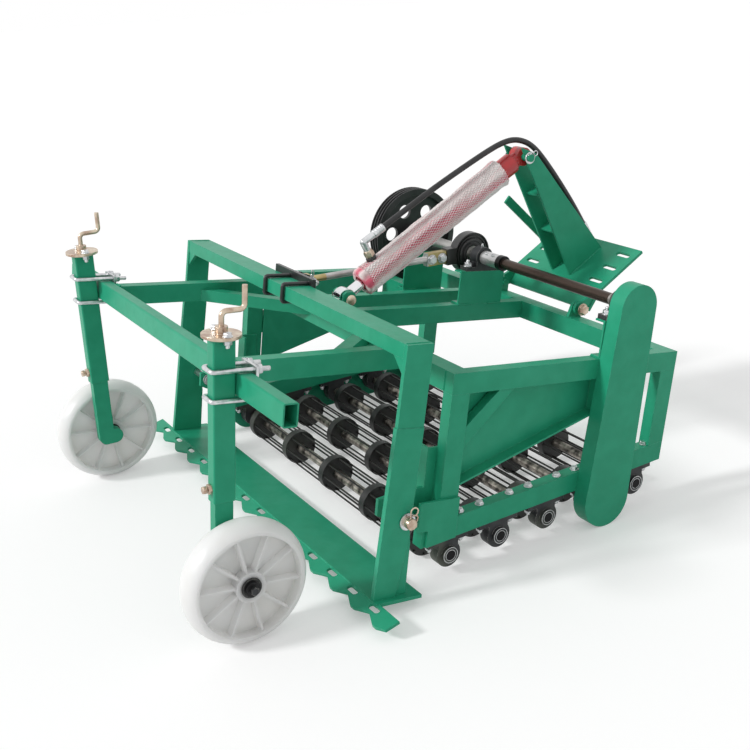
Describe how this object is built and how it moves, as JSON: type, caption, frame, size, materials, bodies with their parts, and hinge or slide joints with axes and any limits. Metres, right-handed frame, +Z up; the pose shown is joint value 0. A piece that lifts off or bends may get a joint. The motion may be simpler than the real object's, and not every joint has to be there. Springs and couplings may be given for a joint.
{
  "type": "garlic harvester",
  "caption": "Mounted garlic harvester: a shaken digging blade on a swinging portal, a bed of caged rollers, gauge wheels on screw posts and a hydraulic lifting mast.",
  "frame": {"origin": "on the floor, under the middle of the machine's bounding box, as it stands parked", "axes": "+X forward toward the blade and the gauge wheels, +Y to the machine's left, +Z up"},
  "size_m": [1.9042, 1.63, 1.0712],
  "materials": {
    "green_paint": "glossy bright green enamel",
    "yellow_zinc": "yellow zinc plate",
    "zinc": "bright zinc plate",
    "black_paint": "semi-gloss black",
    "bright_steel": "drawn bar, oiled",
    "grey_cast": "dark grey casting",
    "red_paint": "glossy red enamel",
    "foam_wrap": "white foam net over red paint",
    "chrome_rod": "polished",
    "hose_rubber": "smooth cover",
    "white_plastic": "moulded",
    "black_plastic": "moulded"
  },
  "bodies": {
    "frame": {"top_rails": "green_paint", "cross_tubes": "green_paint", "deck_tubes": "green_paint", "frame_posts": "green_paint", "lower_rails": "green_paint", "pivot_plates": "green_paint", "pivot_pins": "yellow_zinc", "side_plates": "green_paint", "braces": "green_paint", "gauge_arms": "green_paint", "gauge_tube": "green_paint", "gauge_sleeves": "green_paint", "gauge_cranks": "yellow_zinc", "gauge_clamps": "zinc", "bearing_stands": "green_paint", "shaft_bearings": "grey_cast", "roller_bearings": "grey_cast", "chain_case": "green_paint", "roller_guard": "green_paint", "lift_brackets": "green_paint"},
    "blade_portal": {"portal_beam": "green_paint", "portal_legs": "green_paint", "blade": "green_paint", "rod_anchor": "black_paint"},
    "connecting_rod": {"connecting_rod": "bright_steel", "eccentric_housing": "black_paint"},
    "drive_shaft": {"drive_shaft": "bright_steel", "drive_pulley": "black_paint"},
    "roller_1": {"roller_cage_1": "bright_steel", "roller_discs_1": "black_plastic"},
    "roller_2": {"roller_cage_2": "bright_steel", "roller_discs_2": "black_plastic"},
    "roller_3": {"roller_cage_3": "bright_steel", "roller_discs_3": "black_plastic"},
    "roller_4": {"roller_cage_4": "bright_steel", "roller_discs_4": "black_plastic"},
    "roller_5": {"roller_cage_5": "bright_steel", "roller_discs_5": "black_plastic"},
    "gauge_leg_left": {"gauge_leg_left": "green_paint"},
    "gauge_wheel_left": {"gauge_wheel_left": "white_plastic", "wheel_hub_left": "black_plastic"},
    "gauge_leg_right": {"gauge_leg_right": "green_paint"},
    "gauge_wheel_right": {"gauge_wheel_right": "white_plastic", "wheel_hub_right": "black_plastic"},
    "mast": {"mount_plate": "green_paint", "mast": "green_paint", "hose_upper": "hose_rubber", "hose_coupler": "zinc"},
    "cylinder_barrel": {"cylinder_barrel": "red_paint", "cylinder_wrap": "foam_wrap", "hose_elbow": "zinc", "hose_lower": "hose_rubber"},
    "cylinder_rod": {"cylinder_rod": "chrome_rod"}
  },
  "joints": [
    {"name": "blade_swing", "type": "hinge", "parent": "frame", "child": "blade_portal", "pos_m": [0.35424, 0, 0.25499], "axis": [0, 1, 0], "range_deg": [-0.9, 0.9]},
    {"name": "rod_swing", "type": "hinge", "parent": "blade_portal", "child": "connecting_rod", "pos_m": [0.17144, -0.124, 0.6946], "axis": [0, 1, 0], "range_deg": [-0.9, 0.9]},
    {"name": "drive_spin", "type": "hinge", "parent": "frame", "child": "drive_shaft", "pos_m": [-0.46748, 0, 0.67282], "axis": [0, 1, 0], "continuous": true},
    {"name": "roller_1_spin", "type": "hinge", "parent": "frame", "child": "roller_1", "pos_m": [0.17858, 0, 0.0656], "axis": [0, 1, 0], "continuous": true},
    {"name": "roller_2_spin", "type": "hinge", "parent": "frame", "child": "roller_2", "pos_m": [0.0006, 0, 0.06777], "axis": [0, 1, 0], "continuous": true},
    {"name": "roller_3_spin", "type": "hinge", "parent": "frame", "child": "roller_3", "pos_m": [-0.17739, 0, 0.06995], "axis": [0, 1, 0], "continuous": true},
    {"name": "roller_4_spin", "type": "hinge", "parent": "frame", "child": "roller_4", "pos_m": [-0.35538, 0, 0.07212], "axis": [0, 1, 0], "continuous": true},
    {"name": "roller_5_spin", "type": "hinge", "parent": "frame", "child": "roller_5", "pos_m": [-0.53336, 0, 0.07429], "axis": [0, 1, 0], "continuous": true},
    {"name": "gauge_slide_left", "type": "slide", "parent": "frame", "child": "gauge_leg_left", "axis": [0.0976, 0, -0.9952], "range_m": [-0.12, 0.06]},
    {"name": "wheel_spin_left", "type": "hinge", "parent": "gauge_leg_left", "child": "gauge_wheel_left", "pos_m": [0.78014, 0.584, 0.172], "axis": [0, 1, 0], "continuous": true},
    {"name": "gauge_slide_right", "type": "slide", "parent": "frame", "child": "gauge_leg_right", "axis": [0.0105, 0, -0.9999], "range_m": [-0.12, 0.06]},
    {"name": "wheel_spin_right", "type": "hinge", "parent": "gauge_leg_right", "child": "gauge_wheel_right", "pos_m": [0.738, -0.584, 0.172], "axis": [0, 1, 0], "continuous": true},
    {"name": "mast_lift", "type": "hinge", "parent": "frame", "child": "mast", "pos_m": [-0.67546, 0, 0.50988], "axis": [0, -1, 0], "range_deg": [0, 30]},
    {"name": "barrel_swing", "type": "hinge", "parent": "mast", "child": "cylinder_barrel", "pos_m": [-0.58858, 0, 1.00545], "axis": [0, -1, 0], "range_deg": [-22.63, 0]},
    {"name": "rod_slide", "type": "slide", "parent": "cylinder_barrel", "child": "cylinder_rod", "axis": [0.894, 0, -0.448], "range_m": [0, 0.23617]}
  ],
  "couplings": [
    {"joint": "rod_swing", "follows": "blade_swing", "ratio": -1},
    {"joint": "roller_1_spin", "follows": "drive_spin", "ratio": 1},
    {"joint": "roller_2_spin", "follows": "drive_spin", "ratio": 1},
    {"joint": "roller_3_spin", "follows": "drive_spin", "ratio": 1},
    {"joint": "roller_4_spin", "follows": "drive_spin", "ratio": 1},
    {"joint": "roller_5_spin", "follows": "drive_spin", "ratio": 1},
    {"joint": "barrel_swing", "follows": "mast_lift", "ratio": -0.751},
    {"joint": "rod_slide", "follows": "mast_lift", "m_per_rad": 0.44915}
  ]
}
